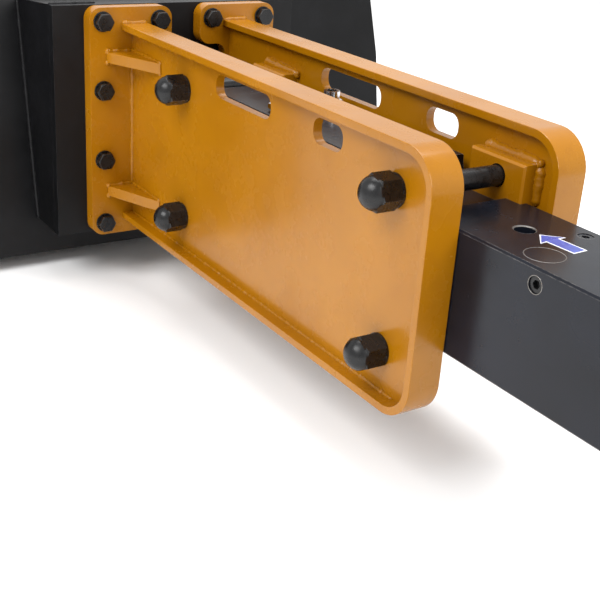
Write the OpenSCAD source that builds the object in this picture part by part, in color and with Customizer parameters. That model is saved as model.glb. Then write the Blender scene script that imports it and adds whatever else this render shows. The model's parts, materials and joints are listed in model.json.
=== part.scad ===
// Hydraulic breaker hammer for a skid-steer loader, side-plate type, lying with its axis along X.
// The origin is the centre of the coupler plate's rear face. +X runs to the chisel tip, +Z is up.
// Every hammer_ value is measured from the front face of the end flanges, on the hammer's axis.

/* [Side plates] */
// Length of each side plate from its end flange to its front edge
plate_l = 910; // [905:1:920]
// Height of each side plate over its edge band
plate_h = 377; // [374:1:384]
// Outer corner radius of the edge band
plate_corner_r = 56; // [40:1:60]
// Width over the two edge bands
plates_w = 266; // [264:2:270]
// Width of the flat bar bent round each side plate
band_w = 52; // [50:1:54]
// Thickness of that flat bar
band_t = 12; // [10:1:13]
// Thickness of the panel inside the band
panel_t = 15; // [12:1:16]
// Recess from the band's outer edge to the panel
panel_recess = 22; // [20:1:24]

/* [End flanges] */
// Height of the end flanges
flange_h = 436; // [432:2:440]
// Thickness of the end flanges
flange_t = 28; // [25:1:30]
// Width over both end flanges
flange_span = 389; // [386:1:392]
// Gap between the inner ears of the two flanges
ear_gap = 60; // [56:2:64]
// Height of each inner ear
ear_h = 75; // [72:1:80]

/* [Hammer body] */
// Width of the back head, cylinder and front head
body_w = 160; // [158:1:162]
// Height of the back head and cylinder
cylinder_h = 238; // [234:1:240]
// Height of the front head
front_h = 174; // [172:1:178]
// X of the rear face of the back head
hammer_rear = 120; // [116:1:124]
// X of the front end of the front head
hammer_front = 1290; // [1286:1:1300]
// Diameter of the chisel
tool_d = 68; // [68:0.1:68.1]
// Length of the chisel
tool_l = 700; // [660:10:740]
// Travel of the chisel in the front head
tool_travel = 45; // [40:1:45]
// Stroke of the piston
piston_stroke = 75; // [60:1:75]

/* [Bolts] */
// Nominal diameter of the through studs and their cap nuts
stud_d = 30; // [27:1:30]
// Nominal diameter of the flange bolts
flange_bolt_d = 20; // [18:1:20]

/* [Coupler bracket] */
// Width of the coupler plate below its shoulders
coupler_w = 1208; // [1196:4:1216]
// Width of the coupler plate along its top edge
coupler_top_w = 1168; // [1166:1:1172]
// Height of the coupler plate along its own slope
coupler_h = 523; // [516:1:530]
// Lean of the coupler plate, top to the rear
coupler_lean = 10; // [9:0.5:11]
// Width of the box that carries the end flanges
box_w = 508; // [500:2:520]

/* [Hidden] */
$fn = 48;

PAINT = "orange";
BLACK = "#1d1d1f";
DARK = "#37383b";
STEEL = "#8b8c8e";
OXIDE = "#2a2a2b";
RUBBER = "#111111";
eps = 1;

// Places along the hammer's axis
hammer_x = 188;                       // origin to the front face of the end flanges
hammer_z = 35;                        // origin up to the hammer's axis
cyl_x = [300, 700];                   // cylinder, from the back head to the front head
stud_x = [215, 812];                  // rear and front through studs
stud_z = [-117, 113];
pad_x = [[142, 250], [753, 863]];     // rear and front clamp pads
pad_y = 66;                           // inner face of the pads, on the pocket floors
pad_z = [[-140, 134], [-140, 140]];   // bottoms and tops of the rear and front pads
pad_edge = 3;                         // bevel round the pads' inner faces
pocket_gap = 1;
saddle_r = 35;                        // clearance grooves round the through studs
step_x = 726;                         // rear edge of the front saddle groove

// Side plates
band_out = plates_w / 2;
band_in = band_out - band_w;
panel_out = band_out - panel_recess;
panel_in = panel_out - panel_t;
gusset_t = 20;
gusset_z = 128.5;                     // height of a gusset's middle above the axis
gusset_l = 124;
gusset_w = 52;
slot_z = 145;
slot_h = 38;
slots = [[326, 498], [615, 689]];
slot_r = 17;

// End flanges and their bolts
flange_out = flange_span / 2;
flange_in = ear_gap / 2;
column_in = 88;
flange_r = 22;
outer_bolts = [for (z = [-193, -66.5, 66.5, 193]) [169, z]];
ear_bolts = [for (z = [-193, 193]) [55.5, z]];
flange_bolts_yz = concat(outer_bolts, ear_bolts);
front_plate_t = 20;
front_plate_h = 438;
box_t = 16;
box_top = 205;
coupler_t = 16;

// Hammer internals
bore_r = 43;
run = 0.05;                           // radial running clearance
tool_r = tool_d / 2;
bush_r = 50;
bush_x = [[890, 983], [1085, 1283]];
tool_x = 925;                         // striking end of the chisel, fully out
pin_x = 1020;
pin_y = -42;
pin_r = 25;
pin_bottom = -62;
pin_flat = -16.4;                     // the chisel's flat, just clear of the pin
lock_x = 1047;
lock_z = 65.4;
lock_r = 9;
plug_r = 11;
grease_x = 942;
grease_r = 14;
grease_edge = 1.6;
bush_pin_xy = [992.5, 56.6];
tie_yz = [for (y = [-48, 48], z = [-50, 50]) [y, z]];
tie_r = 13.5;
port_xy = [for (y = [-50, 50]) [426, y]];
valve_z = -143;
valve_x = [400, 580];
gas_r = 36;

// A round bar along one axis
module bar_x(x, r, y = 0, z = 0)
  translate([x[0], y, z]) rotate([0, 90, 0]) cylinder(h = x[1] - x[0], r = r);
module bar_y(y, r, x = 0, z = 0)
  translate([x, y[1], z]) rotate([90, 0, 0]) cylinder(h = y[1] - y[0], r = r);
module bar_z(z, r, x = 0, y = 0)
  translate([x, y, z[0]]) cylinder(h = z[1] - z[0], r = r);

// A box from its spans on the three axes
module block(x, y, z)
  translate([x[0], y[0], z[0]]) cube([x[1] - x[0], y[1] - y[0], z[1] - z[0]]);

// A rectangle with round corners between two corners
module round_rect(a, b, r) {
  translate([a[0] + r, a[1]]) square([b[0] - a[0] - 2 * r, b[1] - a[1]]);
  translate([a[0], a[1] + r]) square([b[0] - a[0], b[1] - a[1] - 2 * r]);
  for (x = [a[0] + r, b[0] - r], y = [a[1] + r, b[1] - r]) translate([x, y]) circle(r = r);
}

// An outline drawn in X and Z, given its span in Y
module xz_slab(y)
  translate([0, y[1], 0]) rotate([90, 0, 0]) linear_extrude(y[1] - y[0]) children();

// An outline drawn in Y and Z, given its span in X
module yz_slab(x)
  translate([x[0], 0, 0]) rotate([90, 0, 90]) linear_extrude(x[1] - x[0]) children();

// The right side as drawn, or the left side as its mirror image
module side(left) mirror([0, left ? 1 : 0, 0]) mirror([0, 1, 0]) children();

module in_hammer() translate([hammer_x, 0, hammer_z]) children();
module on_coupler() rotate([0, -coupler_lean, 0]) children();

// Hexagon across flats, with a chamfered top
module hex_body(af, h, chamfer) {
  r = af / sqrt(3);
  intersection() {
    cylinder(h = h, r = r, $fn = 6);
    rotate_extrude() polygon([[0, 0], [r, 0], [r, h - chamfer], [r - 2 * chamfer, h], [0, h]]);
  }
}

module hex_socket(af, z) translate([0, 0, z[0]]) cylinder(h = z[1] - z[0], r = af / sqrt(3), $fn = 6);

// A sealing or guide ring along X
module ring_x(x, r_in, r_out) difference() {
  bar_x(x, r_out);
  bar_x([x[0] - eps, x[1] + eps], r_in);
}

// ---- side plates ----

module plate_outline(inset) {
  r = plate_corner_r - inset;
  z = plate_h / 2 - inset;
  x = plate_l - inset;
  intersection() {
    round_rect([-2 * r, -z], [x, z], r);
    translate([0, -plate_h]) square([plate_l, 2 * plate_h]);
  }
}

module edge_band(left) color(PAINT) in_hammer() side(left)
  xz_slab([band_in, band_out]) difference() {
    plate_outline(0);
    plate_outline(band_t);
  }

module side_panel(left) color(PAINT) in_hammer() side(left) difference() {
  xz_slab([panel_in, panel_out]) difference() {
    plate_outline(band_t);
    for (s = slots) round_rect([s[0], slot_z - slot_h / 2], [s[1], slot_z + slot_h / 2], slot_r);
  }
  for (x = stud_x, z = stud_z) bar_y([panel_in - eps, panel_out + eps], stud_d / 2 + 1, x, z);
}

module flange_outline() {
  ear_z = flange_h / 2 - ear_h;
  difference() {
    round_rect([flange_in, -flange_h / 2], [flange_out, flange_h / 2], flange_r);
    round_rect([flange_in - 2 * flange_r, -ear_z], [column_in, ear_z], flange_r);
    for (s = [0, 1]) mirror([0, s]) translate([flange_in, ear_z]) difference() {
      translate([-eps, -eps]) square(flange_r + eps);
      translate([flange_r, flange_r]) circle(r = flange_r);
    }
  }
}

module end_flange(left) color(PAINT) in_hammer() side(left) difference() {
  yz_slab([-flange_t, 0]) flange_outline();
  for (p = flange_bolts_yz) bar_x([-flange_t - eps, eps], flange_bolt_d / 2 + 1, p[0], p[1]);
}

module gussets(left) color(PAINT) in_hammer() side(left)
  for (z = [-gusset_z, gusset_z]) translate([0, panel_out, z - gusset_t / 2])
    linear_extrude(gusset_t)
      polygon([[0, 0], [gusset_l, 0], [gusset_l, 3], [4, gusset_w], [0, gusset_w]]);

// Section of a clamp pad over a span, with the two edges of its inner face bevelled
module pad_section(x)
  polygon([[x[0], panel_in], [x[0], pad_y + pad_edge], [x[0] + pad_edge, pad_y],
           [x[1] - pad_edge, pad_y], [x[1], pad_y + pad_edge], [x[1], panel_in]]);

module clamp_pads(left) color(PAINT) in_hammer() side(left)
  for (i = [0, 1]) difference() {
    intersection() {
      translate([0, 0, pad_z[i][0]])
        linear_extrude(pad_z[i][1] - pad_z[i][0]) pad_section(pad_x[i]);
      yz_slab(pad_x[i]) mirror([1, 0]) rotate(90) pad_section(pad_z[i]);
    }
    for (z = stud_z) bar_y([pad_y - eps, panel_in + eps], stud_d / 2 + 1.5, stud_x[i], z);
  }

module right_side_panel() side_panel(false);
module left_side_panel() side_panel(true);
module right_edge_band() edge_band(false);
module left_edge_band() edge_band(true);
module right_end_flange() end_flange(false);
module left_end_flange() end_flange(true);
module right_gussets() gussets(false);
module left_gussets() gussets(true);
module right_clamp_pads() clamp_pads(false);
module left_clamp_pads() clamp_pads(true);

// ---- coupler bracket ----

shoulder_z = 95;                      // where the plate's sides start to draw in
module coupler_plate() color(BLACK) on_coupler() yz_slab([0, coupler_t]) polygon([
  [-coupler_w / 2, -coupler_h / 2], [coupler_w / 2, -coupler_h / 2],
  [coupler_w / 2, shoulder_z], [coupler_top_w / 2, coupler_h / 2],
  [-coupler_top_w / 2, coupler_h / 2], [-coupler_w / 2, shoulder_z]]);

lip_t = 12;
lip_w = coupler_top_w - 28;
hook = 42;                            // depth of the hook under the top lip

module coupler_top_lip() color(BLACK) on_coupler() translate([0, 0, coupler_h / 2])
  xz_slab([-lip_w / 2, lip_w / 2])
    polygon([[coupler_t, 0], [0, 0], [-hook, -hook], [-hook - lip_t * 0.7, -hook + lip_t * 0.7],
             [-lip_t * 0.4, lip_t], [coupler_t, lip_t]]);

sill_l = 92;                          // depth of the bottom lip
sill_drop = 6;                        // its slope, downwards to the rear
sill_t = 16;
lock_slot = [34, 64];                 // wedge-pin slots, along the sill and across it
lock_slot_y = 460;

sill_z = sill_t - coupler_h / 2;      // top of the bottom lip where it meets the plate

// The bottom lip is cut square at the front, so that its whole end stands against the plate
module coupler_bottom_lip() color(BLACK) on_coupler() difference() {
  translate([0, 0, sill_z]) rotate([0, -sill_drop, 0]) difference() {
    block([-sill_l, coupler_t], [-lip_w / 2, lip_w / 2], [-sill_t, 0]);
    for (y = [-lock_slot_y, lock_slot_y])
      translate([-sill_l / 2 - lock_slot[0] / 2, y - lock_slot[1] / 2, -sill_t - eps])
        cube([lock_slot[0], lock_slot[1], sill_t + 2 * eps]);
  }
  block([0, 2 * coupler_t], [-lip_w, lip_w], [-coupler_h, 0]);
}

// A point on the bottom lip, from its own X and Z
function on_sill(x, z) =
  [x * cos(sill_drop) - z * sin(sill_drop), x * sin(sill_drop) + z * cos(sill_drop) + sill_z];

module coupler_end_plates() color(BLACK) on_coupler()
  for (y = [-lip_w / 2 - lip_t, lip_w / 2]) xz_slab([y, y + lip_t])
    polygon([[0, -coupler_h / 2], [0, coupler_h / 2], [-30, coupler_h / 2 - 30], [-30, 60],
             [-18, 30], [-18, -coupler_h / 2 + 70], on_sill(-sill_l, 0), on_sill(-sill_l, -sill_t)]);

// X where the box plates end, at a height above the hammer's axis, against the coupler plate
seat_gap = 0.02;
function coupler_front(z) =
  coupler_t / cos(coupler_lean) - (z + hammer_z) * tan(coupler_lean) - hammer_x + seat_gap;

module bracket_front_plate() color(BLACK) in_hammer() difference() {
  block([-flange_t - front_plate_t, -flange_t], [-box_w / 2, box_w / 2],
        [-front_plate_h / 2, front_plate_h / 2]);
  for (p = flange_bolts_yz, s = [-1, 1])
    bar_x([-flange_t - front_plate_t - eps, -flange_t + eps],
          flange_bolt_d / 2 + (p[1] < nut_limit_z ? 1 : 0), s * p[0], p[1]);
}

// Side view of the box between the coupler plate and the front plate
module box_outline(bottom, top_cut) {
  x = -flange_t - front_plate_t;
  polygon([[x, bottom], [x, front_plate_h / 2 - top_cut],
           [coupler_front(box_top - top_cut), box_top - top_cut], [coupler_front(bottom), bottom]]);
}

module bracket_side_plates() color(BLACK) in_hammer()
  for (y = [-box_w / 2, box_w / 2 - box_t])
    xz_slab([y, y + box_t]) box_outline(-front_plate_h / 2, 0);

module bracket_top_plate() color(BLACK) in_hammer()
  xz_slab([-box_w / 2 + box_t, box_w / 2 - box_t]) difference() {
    box_outline(0, 0);
    box_outline(-1, box_t);
  }

module bracket_ribs() color(BLACK) in_hammer()
  for (y = [-119, 105]) xz_slab([y, y + 14]) box_outline(-front_plate_h / 2 + 40, box_t);

// ---- flange bolts ----

flange_washer_t = 3;
flange_washer_r = 18.5;
flange_af = 30;
flange_head_h = 12.5;
flange_nut_h = 16;

// The top row is screwed into the front plate, and the rest go through it to a nut
nut_limit_z = box_top - 2 * box_t;
tapped_bolts_yz = [for (p = flange_bolts_yz) if (p[1] >= nut_limit_z) p];
through_bolts_yz = [for (p = flange_bolts_yz) if (p[1] < nut_limit_z) p];

module at_bolts(places, x) for (p = places, s = [-1, 1]) translate([x, s * p[0], p[1]]) children();

module flange_bolt(shank) {
  rotate([0, 90, 0]) rotate(30) hex_body(flange_af, flange_head_h, 1.6);
  rotate([0, -90, 0]) cylinder(h = shank, r = flange_bolt_d / 2);
}

grip = flange_washer_t + flange_t + front_plate_t;
module flange_bolts() color(OXIDE) in_hammer() {
  at_bolts(tapped_bolts_yz, flange_washer_t) flange_bolt(grip);
  at_bolts(through_bolts_yz, flange_washer_t) flange_bolt(grip + flange_washer_t + flange_nut_h + 4);
}

module flange_washer() rotate([0, 90, 0]) difference() {
  cylinder(h = flange_washer_t, r = flange_washer_r);
  translate([0, 0, -eps]) cylinder(h = flange_washer_t + 2 * eps, r = flange_bolt_d / 2);
}

module flange_washers() color(OXIDE) in_hammer() {
  at_bolts(flange_bolts_yz, 0) flange_washer();
  at_bolts(through_bolts_yz, -flange_t - front_plate_t - flange_washer_t) flange_washer();
}

module flange_nuts() color(OXIDE) in_hammer()
  at_bolts(through_bolts_yz, -flange_t - front_plate_t - flange_washer_t) rotate([0, -90, 0])
    difference() {
      rotate(30) hex_body(flange_af, flange_nut_h, 1.6);
      translate([0, 0, -eps]) cylinder(h = flange_nut_h + 2 * eps, r = flange_bolt_d / 2);
    }

// ---- through studs ----

washer_t = 4;
stud_washer_r = 24;
stud_af = 46;
cap_bore_h = 32;
dome_r = 24.5;
dome_z = 26;                          // centre of a cap nut's dome above its base
cap_bevel = [[27.5, 29.5], [22, 32.5]];  // radius and height where the bevel starts and ends
nut_turn = [[20, 30], [30, 10]];      // how far each stud's nuts are turned, by stud_x and stud_z
stud_reach = panel_out + washer_t + cap_bore_h - 4;

module at_studs() for (x = stud_x, z = stud_z) translate([x, 0, z]) children();

module through_studs() color(OXIDE) in_hammer() at_studs() bar_y([-stud_reach, stud_reach], stud_d / 2);

module stud_washers() color(OXIDE) in_hammer() at_studs() for (s = [0, 1]) mirror([0, s, 0])
  difference() {
    bar_y([panel_out, panel_out + washer_t], stud_washer_r);
    bar_y([panel_out - eps, panel_out + washer_t + eps], stud_d / 2);
  }

// A cap nut on its base: a hexagon whose end is turned to a bevel and a dome
module cap_nut() difference() {
  intersection() {
    cylinder(h = dome_z + dome_r + 1, r = stud_af / sqrt(3), $fn = 6);
    union() {
      rotate_extrude() polygon([[0, 0], [cap_bevel[0][0], 0], cap_bevel[0], cap_bevel[1],
                                [0, cap_bevel[1][1]]]);
      translate([0, 0, dome_z]) sphere(r = dome_r);
    }
  }
  translate([0, 0, -eps]) cylinder(h = cap_bore_h + eps, r = stud_d / 2);
}

module cap_nuts() color(OXIDE) in_hammer()
  for (i = [0, 1], j = [0, 1], s = [0, 1]) translate([stud_x[i], 0, stud_z[j]]) mirror([0, s, 0])
    translate([0, panel_out + washer_t, 0]) rotate([-90, 0, 0]) rotate(nut_turn[i][j]) cap_nut();

// ---- hammer body ----

edge = 3;

// Body section with small chamfers along its four long edges
module section(h) {
  w = body_w / 2;
  z = h / 2;
  polygon([[-w + edge, -z], [w - edge, -z], [w, -z + edge], [w, z - edge],
           [w - edge, z], [-w + edge, z], [-w, z - edge], [-w, -z + edge]]);
}

// Saddle grooves across the top and bottom, round one pair of studs
module saddles(x_from, x_to) for (z = stud_z) {
  for (x = [x_from, x_to]) bar_y([-body_w, body_w], saddle_r, x, z);
  if (x_to > x_from) block([x_from, x_to], [-body_w, body_w], saddle_depth(z));
}
function saddle_depth(z) = z > 0 ? [z - saddle_r, body_w] : [-body_w, z + saddle_r];

// Pockets in the sides that take one pair of clamp pads
module pockets(x) for (s = [0, 1]) mirror([0, s, 0])
  block([x[0] - pocket_gap, x[1] + pocket_gap], [pad_y, body_w], [-cylinder_h, cylinder_h]);

module tie_holes(x) for (p = tie_yz) bar_x(x, tie_r + 1, p[0], p[1]);

dowel_y = 66;
module dowel_holes(x) for (y = [-dowel_y, dowel_y]) bar_x([x - 12, x + 12], 6, y);

module back_head() color(DARK) in_hammer() difference() {
  yz_slab([hammer_rear, cyl_x[0]]) section(cylinder_h);
  saddles(stud_x[0], stud_x[0]);
  pockets(pad_x[0]);
  tie_holes([hammer_rear - eps, cyl_x[0] + eps]);
  dowel_holes(cyl_x[0]);
  bar_x([160, cyl_x[0] + eps], gas_r);
  bar_x([hammer_rear - eps, 161], 9);
  bar_x([cyl_x[0] - 3, cyl_x[0] + eps], 44);
}

retainer_r = 52;
module cylinder_bore() {
  bar_x([cyl_x[0] - eps, cyl_x[1] + eps], bore_r + run);
  bar_x([cyl_x[0] - eps, 396], retainer_r);
  bar_x([642, cyl_x[1] + eps], 50);
}

module main_cylinder() color(DARK) in_hammer() difference() {
  yz_slab(cyl_x) section(cylinder_h);
  cylinder_bore();
  tie_holes([cyl_x[0] - eps, cyl_x[1] + eps]);
  dowel_holes(cyl_x[0]);
  dowel_holes(cyl_x[1]);
  for (p = port_xy) bar_z([cylinder_h / 2 - 24, cylinder_h / 2 + eps], 13, p[0], p[1]);
  for (x = [415, 565], y = [-43, 43]) bar_z([-cylinder_h / 2 - eps, -cylinder_h / 2 + 22], 6, x, y);
}

nose = 26;
module nose_outline(half) polygon([
  [cyl_x[1], -half], [hammer_front - nose, -half], [hammer_front, -half + nose],
  [hammer_front, half - nose], [hammer_front - nose, half], [cyl_x[1], half]]);

module front_head_blank() {
  intersection() {
    yz_slab([cyl_x[1], hammer_front]) section(front_h);
    xz_slab([-body_w, body_w]) nose_outline(front_h / 2);
    linear_extrude(2 * body_w, center = true) nose_outline(body_w / 2);
  }
  yz_slab([cyl_x[1], step_x + saddle_r]) section(cylinder_h);
}

top = front_h / 2;
module front_head() color(DARK) in_hammer() difference() {
  front_head_blank();
  saddles(step_x + saddle_r, stud_x[1]);
  pockets(pad_x[1]);
  for (p = tie_yz) bar_x([cyl_x[1] - eps, 782], tie_r, p[0], p[1]);
  dowel_holes(cyl_x[1]);
  bar_x([cyl_x[1] - eps, bush_x[0][0] + eps], 44);
  bar_x([bush_x[0][0], hammer_front + eps], bush_r);
  bar_z([pin_bottom, top + eps], pin_r, pin_x, pin_y);
  bar_z([-top - eps, pin_bottom + eps], 8, pin_x, pin_y);
  bar_y([-body_w, pin_y + pin_r], lock_r, lock_x, lock_z);
  bar_y([-body_w, -body_w / 2 + 16], plug_r, lock_x, lock_z);
  bar_z([62, top + eps], grease_r, grease_x, 0);
  translate([grease_x, 0, top - grease_edge])
    cylinder(h = 2 * grease_edge, r1 = grease_r, r2 = grease_r + 2 * grease_edge);
  bar_z([bush_r - eps, 63], 4, grease_x, 0);
  for (s = [0, 1]) mirror([0, 0, s]) translate([s * 170, 0, 0]) {
    bar_z([-20, top + eps], lock_r, bush_pin_xy[0], bush_pin_xy[1]);
    bar_z([top - 18, top + eps], plug_r, bush_pin_xy[0], bush_pin_xy[1]);
  }
}

module head_gaskets() color(RUBBER) in_hammer() ring_x([cyl_x[0] - 3, cyl_x[0]], gas_r, 44);

module locating_dowels() color(STEEL) in_hammer()
  for (x = cyl_x, y = [-dowel_y, dowel_y]) bar_x([x - 12, x + 12], 6, y);

module tie_rods() color(STEEL) in_hammer()
  for (p = tie_yz) bar_x([hammer_rear - 31, 780], tie_r, p[0], p[1]);

module tie_rod_washers() color(STEEL) in_hammer()
  for (p = tie_yz) translate([0, p[0], p[1]]) ring_x([hammer_rear - 5, hammer_rear], tie_r, 23);

module tie_rod_nuts() color(OXIDE) in_hammer()
  for (p = tie_yz) translate([hammer_rear - 5, p[0], p[1]]) rotate([0, -90, 0]) difference() {
    hex_body(41, 22, 2);
    translate([0, 0, -eps]) cylinder(h = 24, r = tie_r);
  }

module gas_valve() color(STEEL) in_hammer() {
  bar_x([hammer_rear - 6, 150], 9);
  translate([hammer_rear - 6, 0, 0]) rotate([0, -90, 0]) difference() {
    hex_body(24, 14, 1.5);
    hex_socket(8, [6, 16]);
  }
}

// ---- piston and its seals ----

piston_front = 879.5;
module piston() color(STEEL) in_hammer() union() {
  bar_x([250, 480], gas_r - 2);
  bar_x([480, 540], bore_r);
  bar_x([540, 585], bore_r - 4);
  bar_x([585, 635], bore_r);
  bar_x([635, piston_front - 3], 38);
  translate([piston_front - 3, 0, 0]) rotate([0, 90, 0]) cylinder(h = 3, r1 = 38, r2 = 35);
}

gas_seal_x = [318, 342, 366];
module seal_retainer() color(STEEL) in_hammer() difference() {
  ring_x([cyl_x[0], 396], gas_r - 2 + run, retainer_r);
  for (x = gas_seal_x) bar_x([x, x + 8], gas_r + 3);
}

module gas_seals() color(RUBBER) in_hammer()
  for (x = gas_seal_x) ring_x([x, x + 8], gas_r - 2 + run, gas_r + 3);

module front_seals() color(RUBBER) in_hammer()
  for (x = [642, 672]) ring_x([x, x + 28], 38 + run, 50);

// ---- control valve ----

module valve_bolt_places() for (x = [415, 565], y = [-43, 43]) translate([x, y, 0]) children();

valve_bottom = -167;
cover_bolt_r = 4;
cover_bolt_yz = [for (y = [-27, 27], z = [-14, 14]) [y, valve_z + z]];
module valve_housing() color(DARK) in_hammer() difference() {
  block(valve_x, [-56, 56], [valve_bottom, -cylinder_h / 2]);
  bar_x([valve_x[0] + 15, valve_x[1] + eps], 20, 0, valve_z);
  valve_bolt_places() {
    bar_z([valve_bottom - eps, -cylinder_h / 2 + eps], 6.5);
    bar_z([valve_bottom - eps, valve_bottom + 13], 9.5);
  }
  for (p = cover_bolt_yz) bar_x([valve_x[1] - 20, valve_x[1] + eps], cover_bolt_r, p[0], p[1]);
}

module valve_housing_bolts() color(OXIDE) in_hammer() valve_bolt_places() difference() {
  union() {
    bar_z([valve_bottom + 13, -cylinder_h / 2 + 20], 6);
    bar_z([valve_bottom + 1, valve_bottom + 13], 9);
  }
  hex_socket(10, [valve_bottom, valve_bottom + 7]);
}

module valve_sleeve() color(STEEL) in_hammer() translate([0, 0, valve_z])
  ring_x([valve_x[0] + 15, valve_x[1]], 14 + run, 20);

module valve_spool() color(STEEL) in_hammer() translate([0, 0, valve_z]) difference() {
  bar_x([valve_x[0] + 17, valve_x[1] - 15], 14);
  for (x = [450, 500]) ring_x([x, x + 22], 10, 15);
}

module valve_cover() color(DARK) in_hammer() difference() {
  block([valve_x[1], valve_x[1] + 16], [-50, 50], [valve_bottom + 2, -cylinder_h / 2 - 2]);
  for (p = cover_bolt_yz) bar_x([valve_x[1] - eps, valve_x[1] + 17], cover_bolt_r, p[0], p[1]);
}

module valve_cover_bolts() color(OXIDE) in_hammer()
  for (p = cover_bolt_yz) translate([0, p[0], p[1]]) {
    bar_x([valve_x[1] - 18, valve_x[1] + 16], cover_bolt_r);
    difference() {
      bar_x([valve_x[1] + 16, valve_x[1] + 24], 6.5);
      translate([valve_x[1] + 19, 0, 0]) rotate([0, 90, 0]) cylinder(h = 6, r = 6 / sqrt(3), $fn = 6);
    }
  }

// ---- hydraulic ports ----

port_z = cylinder_h / 2;
port_thread_r = 13.3;
port_top = port_z + 28;
module port_adapters() color("silver") in_hammer()
  for (p = port_xy) translate([p[0], p[1], 0]) difference() {
    union() {
      bar_z([port_z - 22, port_z + 2], 13);
      translate([0, 0, port_z + 2]) hex_body(32, 12, 1.5);
      bar_z([port_z + 14, port_top], port_thread_r);
    }
    bar_z([port_z - 23, port_top + eps], 8);
  }

module port_seals() color(RUBBER) in_hammer()
  for (p = port_xy) translate([p[0], p[1], 0]) difference() {
    bar_z([port_z, port_z + 2], 16);
    bar_z([port_z - eps, port_z + 3], 13);
  }

// ---- front head pieces ----

module upper_bush() color(STEEL) in_hammer() difference() {
  ring_x(bush_x[0], tool_r + run, bush_r);
  bar_z([0, bush_r + eps], 4, grease_x, 0);
}

module lower_bush() color(STEEL) in_hammer() difference() {
  ring_x(bush_x[1], tool_r + run, bush_r);
  translate([170, 0, 0]) bar_z([-body_w, body_w], lock_r, bush_pin_xy[0], bush_pin_xy[1]);
}

module bush_pins() color(STEEL) in_hammer()
  for (s = [0, 1]) mirror([0, 0, s]) translate([s * 170, 0, 0])
    bar_z([-20, top - 18], lock_r, bush_pin_xy[0], bush_pin_xy[1]);

plug_h = 14;
plug_sink = 1;                        // top of a bush pin plug below the surface
module socket_plug() difference() {
  cylinder(h = plug_h, r = plug_r);
  hex_socket(10, [plug_h - 8, plug_h + eps]);
}

module bush_pin_plugs() color(DARK) in_hammer()
  for (s = [0, 1]) mirror([0, 0, s])
    translate([bush_pin_xy[0] + s * 170, bush_pin_xy[1], top - plug_h - plug_sink]) socket_plug();

module retaining_pin() color(DARK) in_hammer() difference() {
  bar_z([pin_bottom, top], pin_r, pin_x, pin_y);
  bar_y([-body_w, body_w], lock_r + 0.3, lock_x, lock_z);
}

module retaining_pin_lock() color(STEEL) in_hammer()
  bar_y([-body_w / 2 + 16, pin_y + pin_r], lock_r, lock_x, lock_z);

module retaining_lock_plug() color(OXIDE) in_hammer()
  translate([lock_x, -body_w / 2 + 16, lock_z]) rotate([90, 0, 0]) socket_plug();

module grease_nipple() color("silver") in_hammer() translate([grease_x, 0, 0]) {
  bar_z([54, 62], 4);
  translate([0, 0, 62]) hex_body(11, 5, 0.8);
  bar_z([67, 73], 3);
}

module dust_seal() color(RUBBER) in_hammer() ring_x([bush_x[1][1], hammer_front], tool_r + 0.3, bush_r);

flat_l = pin_r * 2 + tool_travel + 5;
point_l = 95;
module chisel() color(STEEL) in_hammer() difference() {
  union() {
    translate([tool_x, 0, 0]) rotate([0, 90, 0]) cylinder(h = 3, r1 = tool_r - 3, r2 = tool_r);
    bar_x([tool_x + 3, tool_x + tool_l - point_l], tool_r);
    translate([tool_x + tool_l - point_l, 0, 0]) rotate([0, 90, 0])
      cylinder(h = point_l, r1 = tool_r, r2 = 5);
  }
  block([pin_x - pin_r - 0.3, pin_x - pin_r - 0.3 + flat_l], [-2 * tool_r, pin_flat],
        [-tool_r - eps, tool_r + eps]);
}

arrow_l = 67;
arrow_turn = 3;
arrow_head = [23, 23];                // length and half width of its head
arrow_half = 12;                      // half width of its shaft
module grease_arrow() color("white") in_hammer()
  translate([965, 3, top]) rotate(arrow_turn) linear_extrude(0.4)
    polygon([[0, 0], arrow_head, [arrow_head[0], arrow_half], [arrow_l, arrow_half],
             [arrow_l, -arrow_half], [arrow_head[0], -arrow_half], [arrow_head[0], -arrow_head[1]]]);

right_side_panel();
left_side_panel();
right_edge_band();
left_edge_band();
right_end_flange();
left_end_flange();
right_gussets();
left_gussets();
right_clamp_pads();
left_clamp_pads();
coupler_plate();
coupler_top_lip();
coupler_bottom_lip();
coupler_end_plates();
bracket_front_plate();
bracket_side_plates();
bracket_top_plate();
bracket_ribs();
flange_bolts();
flange_washers();
flange_nuts();
through_studs();
stud_washers();
cap_nuts();
back_head();
main_cylinder();
front_head();
head_gaskets();
locating_dowels();
tie_rods();
tie_rod_nuts();
tie_rod_washers();
gas_valve();
piston();
seal_retainer();
gas_seals();
front_seals();
valve_housing();
valve_sleeve();
valve_spool();
valve_cover();
valve_cover_bolts();
valve_housing_bolts();
port_adapters();
port_seals();
upper_bush();
lower_bush();
bush_pins();
bush_pin_plugs();
retaining_pin();
retaining_pin_lock();
retaining_lock_plug();
grease_nipple();
dust_seal();
chisel();
grease_arrow();
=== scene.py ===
"""Hydraulic breaker hammer: looks, welds, label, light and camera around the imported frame."""
import json
import math
import random

import bmesh
import bpy
from mathutils import Matrix, Vector, noise


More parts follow.
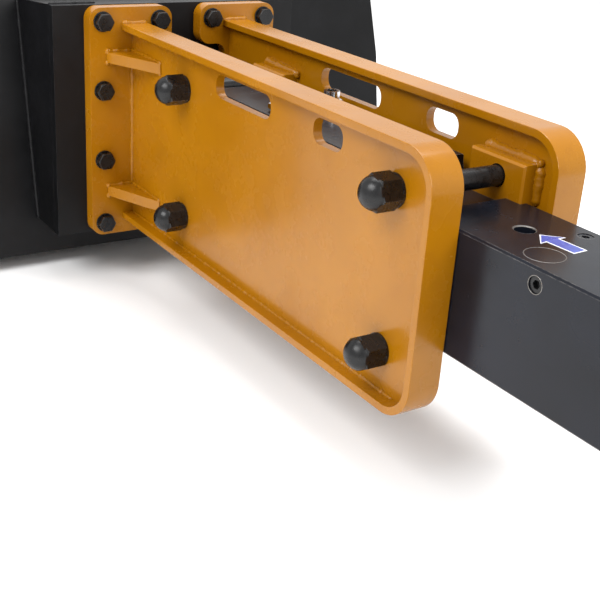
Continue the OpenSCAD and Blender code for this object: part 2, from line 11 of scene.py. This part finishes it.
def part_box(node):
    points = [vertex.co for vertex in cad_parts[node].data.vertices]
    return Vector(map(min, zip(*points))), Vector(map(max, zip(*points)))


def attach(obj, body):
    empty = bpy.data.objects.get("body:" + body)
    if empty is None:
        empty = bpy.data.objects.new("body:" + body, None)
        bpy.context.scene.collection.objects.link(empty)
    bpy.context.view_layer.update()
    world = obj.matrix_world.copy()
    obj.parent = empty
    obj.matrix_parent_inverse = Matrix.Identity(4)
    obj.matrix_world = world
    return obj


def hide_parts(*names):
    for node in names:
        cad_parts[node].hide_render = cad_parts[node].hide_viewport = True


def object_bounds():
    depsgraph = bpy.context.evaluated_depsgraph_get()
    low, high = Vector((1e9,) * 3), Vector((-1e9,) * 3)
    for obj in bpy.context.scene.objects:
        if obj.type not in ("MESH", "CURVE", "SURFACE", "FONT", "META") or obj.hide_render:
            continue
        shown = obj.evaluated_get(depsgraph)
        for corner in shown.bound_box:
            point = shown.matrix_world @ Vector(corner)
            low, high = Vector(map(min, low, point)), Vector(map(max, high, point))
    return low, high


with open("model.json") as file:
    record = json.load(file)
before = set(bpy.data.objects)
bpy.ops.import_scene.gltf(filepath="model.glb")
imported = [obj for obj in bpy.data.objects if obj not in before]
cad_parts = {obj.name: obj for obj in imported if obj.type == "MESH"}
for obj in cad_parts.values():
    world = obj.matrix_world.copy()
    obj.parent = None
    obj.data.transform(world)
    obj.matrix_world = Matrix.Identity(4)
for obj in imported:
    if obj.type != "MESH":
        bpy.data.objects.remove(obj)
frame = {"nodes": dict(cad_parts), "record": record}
cad_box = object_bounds()
MM = 0.001
BODY = "hammer_frame"

# ---------------------------------------------------------------- camera

# The view of the photograph: azimuth and elevation of the line of sight, roll, and where the
# camera stands from the middle of the two end flanges' front faces.
CAM_AZIMUTH, CAM_ELEVATION, CAM_ROLL = 55.77, 23.66, 3.90
CAM_LENS = 63.72                      # mm, with the sensor below
CAM_SENSOR = 36.0                     # mm
CAM_FROM_FLANGES = Vector((1.8403, -0.9473, 0.5273))


def make_camera():
    low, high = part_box("right_end_flange")
    flanges = Vector((high[0], 0.0, (low[2] + high[2]) / 2))
    azimuth, elevation, roll = (math.radians(v) for v in (CAM_AZIMUTH, CAM_ELEVATION, CAM_ROLL))
    forward = math.cos(elevation)
    sight = Vector((-math.sin(azimuth) * forward, math.cos(azimuth) * forward, -math.sin(elevation)))
    level = Vector((math.cos(azimuth), math.sin(azimuth), 0.0))
    upright = level.cross(sight)
    right = level * math.cos(roll) + upright * math.sin(roll)
    up = upright * math.cos(roll) - level * math.sin(roll)
    data = bpy.data.cameras.new("camera")
    data.lens = CAM_LENS
    data.sensor_width = CAM_SENSOR
    camera = bpy.data.objects.new("camera", data)
    camera.matrix_world = (Matrix.Translation(flanges + CAM_FROM_FLANGES)
                           @ Matrix((right, up, -sight)).transposed().to_4x4())
    bpy.context.collection.objects.link(camera)
    bpy.context.scene.camera = camera


make_camera()

# ---------------------------------------------------------------- materials


class Nodes:
    """Short calls for building one material's node tree."""

    def __init__(self, name):
        self.mat = bpy.data.materials.new(name)
        self.mat.use_nodes = True
        self.tree = self.mat.node_tree
        self.shader = self.tree.nodes["Principled BSDF"]

    def feed(self, value, socket):
        """Links an output to a socket, or sets the socket's own value."""
        if isinstance(value, bpy.types.NodeSocket):
            self.tree.links.new(value, socket)
        else:
            socket.default_value = value

    def add(self, kind, **inputs):
        node = self.tree.nodes.new(kind)
        for key, value in inputs.items():
            self.feed(value, node.inputs[key.replace("_", " ")])
        return node

    def place(self):
        return self.add("ShaderNodeTexCoord").outputs["Object"]

    def noise(self, scale, detail=3.0, rough=0.5, at=None):
        return self.add("ShaderNodeTexNoise", Vector=at or self.place(), Scale=scale,
                        Detail=detail, Roughness=rough).outputs["Fac"]

    def ramp(self, fac, *stops):
        node = self.add("ShaderNodeValToRGB", Fac=fac)
        ramp = node.color_ramp
        while len(ramp.elements) < len(stops):
            ramp.elements.new(0.5)
        for element, (position, value) in zip(ramp.elements, stops):
            element.position = position
            element.color = value if isinstance(value, tuple) else (value, value, value, 1.0)
        return node.outputs["Color"]

    def mix(self, fac, a, b):
        node = self.tree.nodes.new("ShaderNodeMix")
        node.data_type = "RGBA"
        for index, value in ((0, fac), (6, a), (7, b)):
            self.feed(value, node.inputs[index])
        return node.outputs[2]

    def times(self, a, b):
        node = self.tree.nodes.new("ShaderNodeMath")
        node.operation = "MULTIPLY"
        for index, value in enumerate((a, b)):
            self.feed(value, node.inputs[index])
        return node.outputs[0]

    def edges(self, radius):
        """White along edges, black on flats."""
        smooth = self.add("ShaderNodeBevel", Radius=radius)
        smooth.samples = 4
        flat = self.add("ShaderNodeNewGeometry").outputs["Normal"]
        dot = self.tree.nodes.new("ShaderNodeVectorMath")
        dot.operation = "DOT_PRODUCT"
        self.tree.links.new(smooth.outputs["Normal"], dot.inputs[0])
        self.tree.links.new(flat, dot.inputs[1])
        return self.ramp(dot.outputs["Value"], (0.86, 1.0), (0.985, 0.0))

    def bump(self, height, distance, strength=1.0, normal=None):
        inputs = dict(Height=height, Distance=distance, Strength=strength)
        if normal is not None:
            inputs["Normal"] = normal
        return self.add("ShaderNodeBump", **inputs).outputs["Normal"]

    def wire(self, **sockets):
        for key, value in sockets.items():
            self.feed(value, self.shader.inputs[key.replace("_", " ")])
        return self.mat


def rgb(hex_code):
    """A linear colour from an sRGB hex code."""
    parts = [int(hex_code[i:i + 2], 16) / 255 for i in (0, 2, 4)]
    return tuple(c / 12.92 if c < 0.04045 else ((c + 0.055) / 1.055) ** 2.4 for c in parts) + (1.0,)


def orange_paint(name, weld=False):
    n = Nodes(name)
    broad = n.ramp(n.noise(7.0, 4.0), (0.3, rgb("976002")), (0.7, rgb("a36a04")))
    dusty = n.mix(n.ramp(n.noise(38.0, 5.0, 0.65), (0.55, 0.0), (0.8, 0.2)), broad, rgb("824a05"))
    # Edges lightened to a pale tan: partly worn paint, partly a painted edge highlight.
    worn_and_lit_edges = n.times(n.edges(1.4 * MM),
                    n.ramp(n.noise(90.0, 4.0, 0.7), (0.52, 0.0), (0.62, 0.5)))
    colour = n.mix(worn_and_lit_edges, dusty, rgb("d9a860"))
    peel = n.bump(n.noise(420.0, 1.0), 0.06 * MM, 0.5)
    waves = n.bump(n.noise(26.0, 2.0), 0.5 * MM, 0.8 if weld else 0.35, peel)
    if weld:
        waves = n.bump(n.noise(300.0, 3.0, 0.7), 0.8 * MM, 0.6, waves)
    rough = n.ramp(n.noise(16.0, 4.0, 0.6), (0.3, 0.2), (0.75, 0.34))
    return n.wire(Base_Color=colour, Roughness=rough, Normal=waves, Coat_Weight=0.16,
                  Coat_Roughness=0.1, Specular_IOR_Level=0.28)


def bracket_paint(name):
    n = Nodes(name)
    broad = n.ramp(n.noise(5.0, 4.0), (0.3, rgb("070708")), (0.7, rgb("0e0e10")))
    dust = n.mix(n.ramp(n.noise(30.0, 6.0, 0.65), (0.5, 0.0), (0.85, 0.3)), broad, rgb("1c1c20"))
    wear = n.times(n.edges(1.5 * MM),
                   n.ramp(n.noise(60.0, 4.0, 0.7), (0.45, 0.0), (0.6, 0.45)))
    colour = n.mix(wear, dust, rgb("4c4c50"))
    peel = n.bump(n.noise(330.0, 2.0), 0.08 * MM, 0.6)
    normal = n.bump(n.noise(14.0, 3.0), 0.8 * MM, 0.35, peel)
    rough = n.ramp(n.noise(11.0, 5.0, 0.6), (0.3, 0.3), (0.75, 0.5))
    return n.wire(Base_Color=colour, Roughness=rough, Normal=normal, Specular_IOR_Level=0.22)


def hammer_paint(name):
    n = Nodes(name)
    broad = n.ramp(n.noise(9.0, 3.0), (0.3, rgb("0f1117")), (0.7, rgb("161922")))
    wear = n.times(n.edges(1.6 * MM),
                   n.ramp(n.noise(70.0, 5.0, 0.75), (0.4, 0.1), (0.62, 0.9)))
    colour = n.mix(wear, broad, rgb("8c8884"))
    milling = n.tree.nodes.new("ShaderNodeMapping")
    n.tree.links.new(n.place(), milling.inputs["Vector"])
    milling.inputs["Scale"].default_value = (0.12, 1.0, 1.0)
    lines = n.noise(900.0, 2.0, 0.6, milling.outputs["Vector"])
    normal = n.bump(lines, 0.05 * MM, 0.35)
    normal = n.bump(n.noise(22.0, 2.0), 0.35 * MM, 0.3, normal)
    rough = n.ramp(n.noise(30.0, 5.0, 0.6), (0.3, 0.18), (0.75, 0.3))
    return n.wire(Base_Color=colour, Roughness=rough, Normal=normal, Specular_IOR_Level=0.24)


def black_oxide(name):
    n = Nodes(name)
    colour = n.ramp(n.noise(60.0, 4.0, 0.6), (0.3, rgb("0b0b0c")), (0.75, rgb("171718")))
    wear = n.times(n.edges(0.9 * MM),
                   n.ramp(n.noise(200.0, 3.0, 0.7), (0.4, 0.05), (0.65, 0.6)))
    colour = n.mix(wear, colour, rgb("6e6e72"))
    normal = n.bump(n.noise(700.0, 2.0), 0.08 * MM, 0.6)
    rough = n.ramp(n.noise(120.0, 4.0), (0.3, 0.22), (0.75, 0.38))
    return n.wire(Base_Color=colour, Roughness=rough, Normal=normal, Specular_IOR_Level=0.36)


def turned_steel(name, colour="a9a9ab", rough=(0.22, 0.38)):
    n = Nodes(name)
    duller = tuple(c * 0.75 for c in rgb(colour)[:3]) + (1.0,)
    base = n.ramp(n.noise(45.0, 4.0, 0.6), (0.3, rgb(colour)), (0.75, duller))
    stretch = n.tree.nodes.new("ShaderNodeMapping")
    n.tree.links.new(n.place(), stretch.inputs["Vector"])
    stretch.inputs["Scale"].default_value = (1.0, 0.05, 0.05)
    normal = n.bump(n.noise(1600.0, 2.0, 0.6, stretch.outputs["Vector"]), 0.04 * MM, 0.4)
    gloss = n.ramp(n.noise(70.0, 4.0), (0.3, rough[0]), (0.75, rough[1]))
    return n.wire(Base_Color=base, Roughness=gloss, Normal=normal, Metallic=1.0)


def forged_steel(name):
    n = Nodes(name)
    base = n.ramp(n.noise(35.0, 5.0, 0.65), (0.3, rgb("3a3a3d")), (0.7, rgb("5a5956")))
    wear = n.mix(n.edges(2.0 * MM), base, rgb("9a9894"))
    normal = n.bump(n.noise(160.0, 5.0, 0.6), 0.3 * MM, 0.5)
    rough = n.ramp(n.noise(50.0, 4.0), (0.3, 0.32), (0.75, 0.5))
    return n.wire(Base_Color=wear, Roughness=rough, Normal=normal, Metallic=0.9)


def chrome(name):
    n = Nodes(name)
    base = n.ramp(n.noise(80.0, 3.0), (0.3, rgb("dedee0")), (0.75, rgb("c6c7ca")))
    rough = n.ramp(n.noise(150.0, 3.0), (0.3, 0.07), (0.8, 0.2))
    normal = n.bump(n.noise(400.0, 2.0), 0.03 * MM, 0.3)
    return n.wire(Base_Color=base, Roughness=rough, Normal=normal, Metallic=1.0)


def rubber(name):
    n = Nodes(name)
    base = n.ramp(n.noise(120.0, 3.0), (0.3, rgb("131313")), (0.75, rgb("1f1f20")))
    normal = n.bump(n.noise(900.0, 2.0), 0.06 * MM, 0.6)
    rough = n.ramp(n.noise(90.0, 3.0), (0.3, 0.55), (0.8, 0.75))
    return n.wire(Base_Color=base, Roughness=rough, Normal=normal)


def film(name, dark, light):
    n = Nodes(name)
    base = n.ramp(n.noise(160.0, 4.0, 0.6), (0.35, rgb(dark)), (0.7, rgb(light)))
    normal = n.bump(n.noise(600.0, 2.0), 0.02 * MM, 0.3)
    rough = n.ramp(n.noise(60.0, 3.0), (0.3, 0.25), (0.8, 0.4))
    return n.wire(Base_Color=base, Roughness=rough, Normal=normal)


MATERIALS = {
    "side_plate_paint": orange_paint("side_plate_paint"),
    "bracket_paint": bracket_paint("bracket_paint"),
    "hammer_paint": hammer_paint("hammer_paint"),
    "black_oxide": black_oxide("black_oxide"),
    "machined_steel": turned_steel("machined_steel"),
    "chisel_steel": forged_steel("chisel_steel"),
    "chrome_fitting": chrome("chrome_fitting"),
    "rubber_seal": rubber("rubber_seal"),
    "arrow_label": film("arrow_label", "dcdde2", "eeeef2"),
}
WELD_PAINT = orange_paint("weld_paint", weld=True)
LABEL_BLUE = film("label_blue", "36448f", "4a5aa8")

# ---------------------------------------------------------------- CAD nodes with eased edges

SLOT_OF = {part["node"]: part["material_slot"] for part in frame["record"]["subparts"]}
BODIES = frame["record"]["behaviour"]["bodies"]
BODY_OF = {node: body for body, nodes in BODIES.items() for node in nodes}
# Closed inside the body, so they keep their plain CAD edges.
SEALED = {
    "head_gaskets", "locating_dowels", "seal_retainer", "gas_seals", "front_seals", "valve_sleeve",
    "valve_spool", "piston", "upper_bush", "bush_pins", "retaining_pin_lock",
}
# How far a hard edge is rounded, in millimetres.
EASE_MM = {
    "side_plate_paint": 1.8, "bracket_paint": 1.5, "hammer_paint": 1.2, "black_oxide": 0.8,
    "machined_steel": 0.6, "chisel_steel": 1.2, "chrome_fitting": 0.4, "rubber_seal": 0.4,
}
SHARP = math.radians(32)              # edges that turn more than this stay hard
FLAT = math.radians(0.8)              # faces that turn less than this are one flat
SAME_POINT = 0.002 * MM


def link(mesh, name, material):
    piece = bpy.data.objects.new(name, mesh)
    mesh.materials.clear()
    mesh.materials.append(material)
    bpy.context.collection.objects.link(piece)
    return piece


def shade(piece):
    piece.data.shade_smooth()
    piece.data.set_sharp_from_angle(angle=SHARP)
    weighted = piece.modifiers.new("flat_faces", "WEIGHTED_NORMAL")
    weighted.keep_sharp = True


def join_flats(bm):
    bmesh.ops.remove_doubles(bm, verts=bm.verts, dist=SAME_POINT)
    bmesh.ops.dissolve_limit(bm, angle_limit=FLAT, verts=bm.verts, edges=bm.edges)


def eased(node, ease):
    """A copy of a CAD node with its flats joined into single faces and its hard edges rounded."""
    bm = bmesh.new()
    bm.from_mesh(frame["nodes"][node].data)
    join_flats(bm)
    hard = [e for e in bm.edges if len(e.link_faces) == 2 and e.calc_face_angle(0.0) > SHARP]
    bmesh.ops.bevel(bm, geom=hard, offset=ease * MM, offset_type="OFFSET", segments=2, profile=0.6,
                    affect="EDGES", clamp_overlap=True)
    mesh = bpy.data.meshes.new(node + "_eased")
    bm.to_mesh(mesh)
    bm.free()
    piece = link(mesh, node + "_eased", MATERIALS[SLOT_OF[node]])
    shade(piece)
    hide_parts(node)
    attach(piece, BODY_OF[node])


for node_name, node_object in frame["nodes"].items():
    node_object.data.materials.clear()
    node_object.data.materials.append(MATERIALS[SLOT_OF[node_name]])
    if node_name not in SEALED and node_name != "grease_arrow":
        eased(node_name, EASE_MM[SLOT_OF[node_name]])

# ---------------------------------------------------------------- welds

RIGHT, LEFT = -1, 1
SIDES = ((RIGHT, "right"), (LEFT, "left"))
PAD_L = 110 * MM                      # length of a front clamp pad
GUSSET_T = 20 * MM
BEAD_SIDES = 10

# Radii of the weld beads.
PAD_BEAD, PAD_END_BEAD, PAD_LUMP = 11 * MM, 10 * MM, 8 * MM
FLANGE_BEAD, BAND_END_BEAD = 4.5 * MM, 5 * MM
GUSSET_BEAD, GUSSET_ROOT_BEAD, GUSSET_BLOB = 4 * MM, 4.5 * MM, 7 * MM
BAND_BEAD, BAND_LUMP = 3.6 * MM, 6 * MM
BRACKET_BEAD, FRONT_PLATE_BEAD = 4.5 * MM, 3.5 * MM


def corner(node, toward):
    """The point of a CAD node that lies farthest in a direction."""
    item = frame["nodes"][node]
    direction = Vector(toward)
    return max((item.matrix_world @ v.co for v in item.data.vertices), key=direction.dot)


def add_bead(bm, points, radius, lump, seed):
    """A weld bead along a line of points: overlapping scales, uneven, and rounded at both ends."""
    lengths = [(b - a).length for a, b in zip(points, points[1:])]
    total = sum(lengths)
    count = max(4, round(total / (radius * 0.3)))
    rings = []
    for i in range(count + 1):
        along = total * i / count
        left, leg = along, 0
        while leg < len(lengths) - 1 and left > lengths[leg]:
            left -= lengths[leg]
            leg += 1
        tangent = (points[leg + 1] - points[leg]).normalized()
        centre = points[leg] + tangent * left
        across = tangent.orthogonal().normalized()
        other = tangent.cross(across)
        scales = 0.9 + 0.12 * abs(math.sin(math.pi * along / (radius * 0.8)))
        shift = Vector((seed, 0.0, 0.0))
        uneven = 1.0 + lump * noise.noise(centre / (2.6 * radius) + shift)
        to_end = min(along, total - along) / radius
        size = radius * scales * uneven * math.sqrt(min(1.0, 0.12 + to_end))
        ring = []
        for k in range(BEAD_SIDES):
            turn = 2 * math.pi * k / BEAD_SIDES
            way = across * math.cos(turn) + other * math.sin(turn)
            rough = 1.0 + 0.35 * lump * noise.noise((centre + way * radius) / (0.5 * radius) + shift)
            ring.append(bm.verts.new(centre + way * size * rough))
        rings.append(ring)
    for a, b in zip(rings, rings[1:]):
        for k in range(BEAD_SIDES):
            after = (k + 1) % BEAD_SIDES
            bm.faces.new((a[k], a[after], b[after], b[k]))
    bm.faces.new(rings[0][::-1])
    bm.faces.new(rings[-1])


def finish_piece(bm, name, material):
    bmesh.ops.recalc_face_normals(bm, faces=bm.faces)
    mesh = bpy.data.meshes.new(name)
    bm.to_mesh(mesh)
    bm.free()
    piece = link(mesh, name, material)
    piece.data.shade_smooth()
    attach(piece, BODY)


def weld(bm, chance, radius, lump, *points):
    add_bead(bm, points, radius, lump, chance.random() * 50)


def pad_welds(bm, side, name, chance):
    """A heavy fillet over each clamp pad, and one down the front pad's front end."""
    front = corner(f"{name}_clamp_pads", (1, side, 1))
    rear = corner(f"{name}_clamp_pads", (-1, side, 1))
    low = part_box(f"{name}_clamp_pads")[0]
    ends = ((front.x - PAD_L, front), (rear.x, Vector((rear.x + PAD_L, rear.y, rear.z))))
    for x, last in ends:
        first = Vector((x, last.y, last.z))
        weld(bm, chance, PAD_BEAD, 0.55, first, last)
        for _ in range(3):
            back = chance.uniform(-4, 14)
            down = chance.uniform(-3, 4)
            lump = last - Vector((back * MM, side * 4 * MM, down * MM))
            weld(bm, chance, PAD_LUMP, 0.5, lump, lump + Vector((7 * MM, 0, 0)))
    foot = Vector((front.x, front.y, (front.z + low.z) / 2 + 80 * MM))
    weld(bm, chance, PAD_END_BEAD, 0.5, front, foot)


def flange_welds(bm, side, name, chance):
    """The side panel and the edge band against the end flange."""
    low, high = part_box(f"{name}_side_panel")
    band_low, band_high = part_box(f"{name}_edge_band")
    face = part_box(f"{name}_end_flange")[1].x
    outer = high.y if side > 0 else low.y
    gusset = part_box(f"{name}_gussets")
    weld(bm, chance, FLANGE_BEAD, 0.4,
         Vector((face, outer, gusset[0].z)), Vector((face, outer, gusset[1].z)))
    for z in (band_low.z, band_high.z):
        weld(bm, chance, BAND_END_BEAD, 0.5,
             Vector((face, band_low.y, z)), Vector((face, band_high.y, z)))


def gusset_welds(bm, side, name, chance):
    """Small fillets above and below each gusset, with a blob where it meets the flange."""
    low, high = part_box(f"{name}_gussets")
    face = low.x
    root = low.y if side > 0 else high.y
    tip = high.y if side > 0 else low.y
    for z in (low.z, low.z + GUSSET_T, high.z - GUSSET_T, high.z):
        start = Vector((face, root, z))
        weld(bm, chance, GUSSET_BEAD, 0.5, start, Vector((high.x, root, z)))
        weld(bm, chance, GUSSET_ROOT_BEAD, 0.6, start, Vector((face, tip, z)))
        blob = Vector((face, tip - side * 6 * MM, z))
        weld(bm, chance, GUSSET_BLOB, 0.5, blob, blob + Vector((0, side * 9 * MM, 0)))


def band_welds(bm, side, name, chance):
    """The long beads between the side panel and the band over and under it, with lumps below."""
    low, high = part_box(f"{name}_side_panel")
    outer = high.y if side > 0 else low.y
    inset = 45 * MM
    for z in (low.z, high.z):
        weld(bm, chance, BAND_BEAD, 0.5,
             Vector((low.x + 8 * MM, outer, z)), Vector((high.x - inset, outer, z)))
    for _ in range(7):
        x = high.x - chance.uniform(60, 210) * MM
        start = Vector((x, outer, low.z))
        length = chance.uniform(8, 20) * MM
        weld(bm, chance, BAND_LUMP, 0.6, start, start + Vector((length, 0, 0)))


def side_plate_welds():
    for side, name in SIDES:
        bm = bmesh.new()
        chance = random.Random(40 + side)
        for make in (pad_welds, flange_welds, gusset_welds, band_welds):
            make(bm, side, name, chance)
        finish_piece(bm, f"{name}_plate_welds", WELD_PAINT)


def bracket_welds():
    """The box plates against the coupler plate, and the front plate against the box."""
    bm = bmesh.new()
    chance = random.Random(7)
    for side, _ in SIDES:
        bottom = corner("bracket_side_plates", (-0.4, side, -1))
        top = corner("bracket_side_plates", (-1, side, 0.6))
        weld(bm, chance, BRACKET_BEAD, 0.3, bottom, top)
        low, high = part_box("bracket_front_plate")
        y = high.y if side > 0 else low.y
        for z in (low.z, high.z):
            weld(bm, chance, FRONT_PLATE_BEAD, 0.4,
                 Vector((low.x, y, z)), Vector((low.x, y - side * 90 * MM, z)))
    right = corner("bracket_top_plate", (-1, RIGHT, 1))
    left = corner("bracket_top_plate", (-1, LEFT, 1))
    weld(bm, chance, BRACKET_BEAD, 0.3, right, left)
    finish_piece(bm, "bracket_welds", MATERIALS["bracket_paint"])


side_plate_welds()
bracket_welds()

# ---------------------------------------------------------------- label and bright rings

RING_STEPS = 96
LABEL_BORDER = 2.6 * MM
PRINT_LIFT = 0.06 * MM


def arrow_label():
    """A white film arrow with a blue arrow printed inside its border."""
    item = frame["nodes"]["grease_arrow"]
    layers = (("arrow_film", MATERIALS["arrow_label"], 0.0), ("arrow_print", LABEL_BLUE, PRINT_LIFT))
    for name, material, lift in layers:
        bm = bmesh.new()
        bm.from_mesh(item.data)
        join_flats(bm)
        if lift:
            top = max(bm.faces, key=lambda f: f.calc_center_median().z)
            bmesh.ops.inset_individual(bm, faces=[top], thickness=LABEL_BORDER, depth=0.0)
            bmesh.ops.delete(bm, geom=[f for f in bm.faces if f is not top], context="FACES")
            bmesh.ops.translate(bm, verts=bm.verts, vec=(0, 0, lift))
        mesh = bpy.data.meshes.new(name)
        bm.to_mesh(mesh)
        bm.free()
        piece = link(mesh, name, material)
        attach(piece, BODY)
        if not lift:
            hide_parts("grease_arrow")


def ring(name, centre, axis, profile, material):
    """A thin turned ring round an axis. The profile gives radius and height in millimetres."""
    bm = bmesh.new()
    turn = Vector((0, 0, 1)).rotation_difference(Vector(axis))
    loops = []
    for i in range(RING_STEPS):
        angle = 2 * math.pi * i / RING_STEPS
        way = Vector((math.cos(angle), math.sin(angle), 0.0))
        points = [centre + turn @ (way * r + Vector((0.0, 0.0, h))) * MM for r, h in profile]
        loops.append([bm.verts.new(point) for point in points])
    for i in range(RING_STEPS):
        a, b = loops[i], loops[(i + 1) % RING_STEPS]
        for k in range(len(profile)):
            after = (k + 1) % len(profile)
            bm.faces.new((a[k], b[k], b[after], a[after]))
    finish_piece(bm, name, material)


def bright_rings():
    """Bare metal round the retaining pin, the grease hole and the lock plug."""
    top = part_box("grease_arrow")[0].z
    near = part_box("front_head")[0].y
    low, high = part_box("retaining_pin")
    middle = (low + high) / 2
    radius = (high.x - low.x) / 2 / MM
    flat = [(radius - 0.2, -0.6), (radius + 1.0, -0.6), (radius + 0.9, 0.12), (radius - 0.1, 0.12)]
    ring("retaining_pin_ring", Vector((middle.x, middle.y, top)), (0, 0, 1), flat, RING_STEEL)
    low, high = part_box("grease_nipple")
    middle = (low + high) / 2
    cone = [(14.05, -1.75), (15.7, -0.1), (15.9, 0.1), (14.0, -0.9)]
    ring("grease_hole_ring", Vector((middle.x, middle.y, top)), (0, 0, 1), cone, RING_STEEL)
    low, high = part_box("retaining_lock_plug")
    middle = (low + high) / 2
    radius = (high.x - low.x) / 2 / MM
    flat = [(radius - 0.1, -0.6), (radius + 1.0, -0.6), (radius + 0.9, 0.12), (radius, 0.12)]
    ring("lock_plug_ring", Vector((middle.x, near, middle.z)), (0, -1, 0), flat, RING_STEEL)


RING_STEEL = turned_steel("ring_steel", "8d8a86", (0.3, 0.5))
arrow_label()
bright_rings()

# ---------------------------------------------------------------- light and floor


def softbox(name, at, target, size, power):
    data = bpy.data.lights.new(name, "AREA")
    data.shape = "RECTANGLE"
    data.size, data.size_y = size
    data.energy = power
    light = bpy.data.objects.new(name, data)
    light.location = at
    light.rotation_euler = (Vector(target) - Vector(at)).to_track_quat("-Z", "Y").to_euler()
    bpy.context.collection.objects.link(light)


FLOOR_HALF = 40.0
FLOOR_GAP = 0.5 * MM


def studio():
    world = bpy.data.worlds.new("studio")
    world.use_nodes = True
    world.node_tree.nodes["Background"].inputs["Color"].default_value = (1.0, 1.0, 1.0, 1.0)
    world.node_tree.nodes["Background"].inputs["Strength"].default_value = 1.0
    bpy.context.scene.world = world
    softbox("key", (1.2, -2.6, 2.6), (0.7, 0.0, 0.0), (2.2, 1.6), 90.0)
    softbox("top", (0.2, 0.6, 3.0), (0.6, 0.0, 0.0), (2.4, 2.0), 80.0)
    softbox("front", (3.6, 0.6, 1.5), (0.9, 0.0, 0.0), (1.6, 1.6), 40.0)
    mesh = bpy.data.meshes.new("floor")
    bm = bmesh.new()
    bmesh.ops.create_grid(bm, x_segments=1, y_segments=1, size=FLOOR_HALF)
    bm.to_mesh(mesh)
    bm.free()
    n = Nodes("floor")
    n.wire(Base_Color=(0.95, 0.95, 0.95, 1.0), Roughness=0.9)
    floor = link(mesh, "floor", n.mat)
    floor.location.z = cad_box[0][2] - FLOOR_GAP
    bpy.context.scene.view_settings.view_transform = "Standard"


studio()
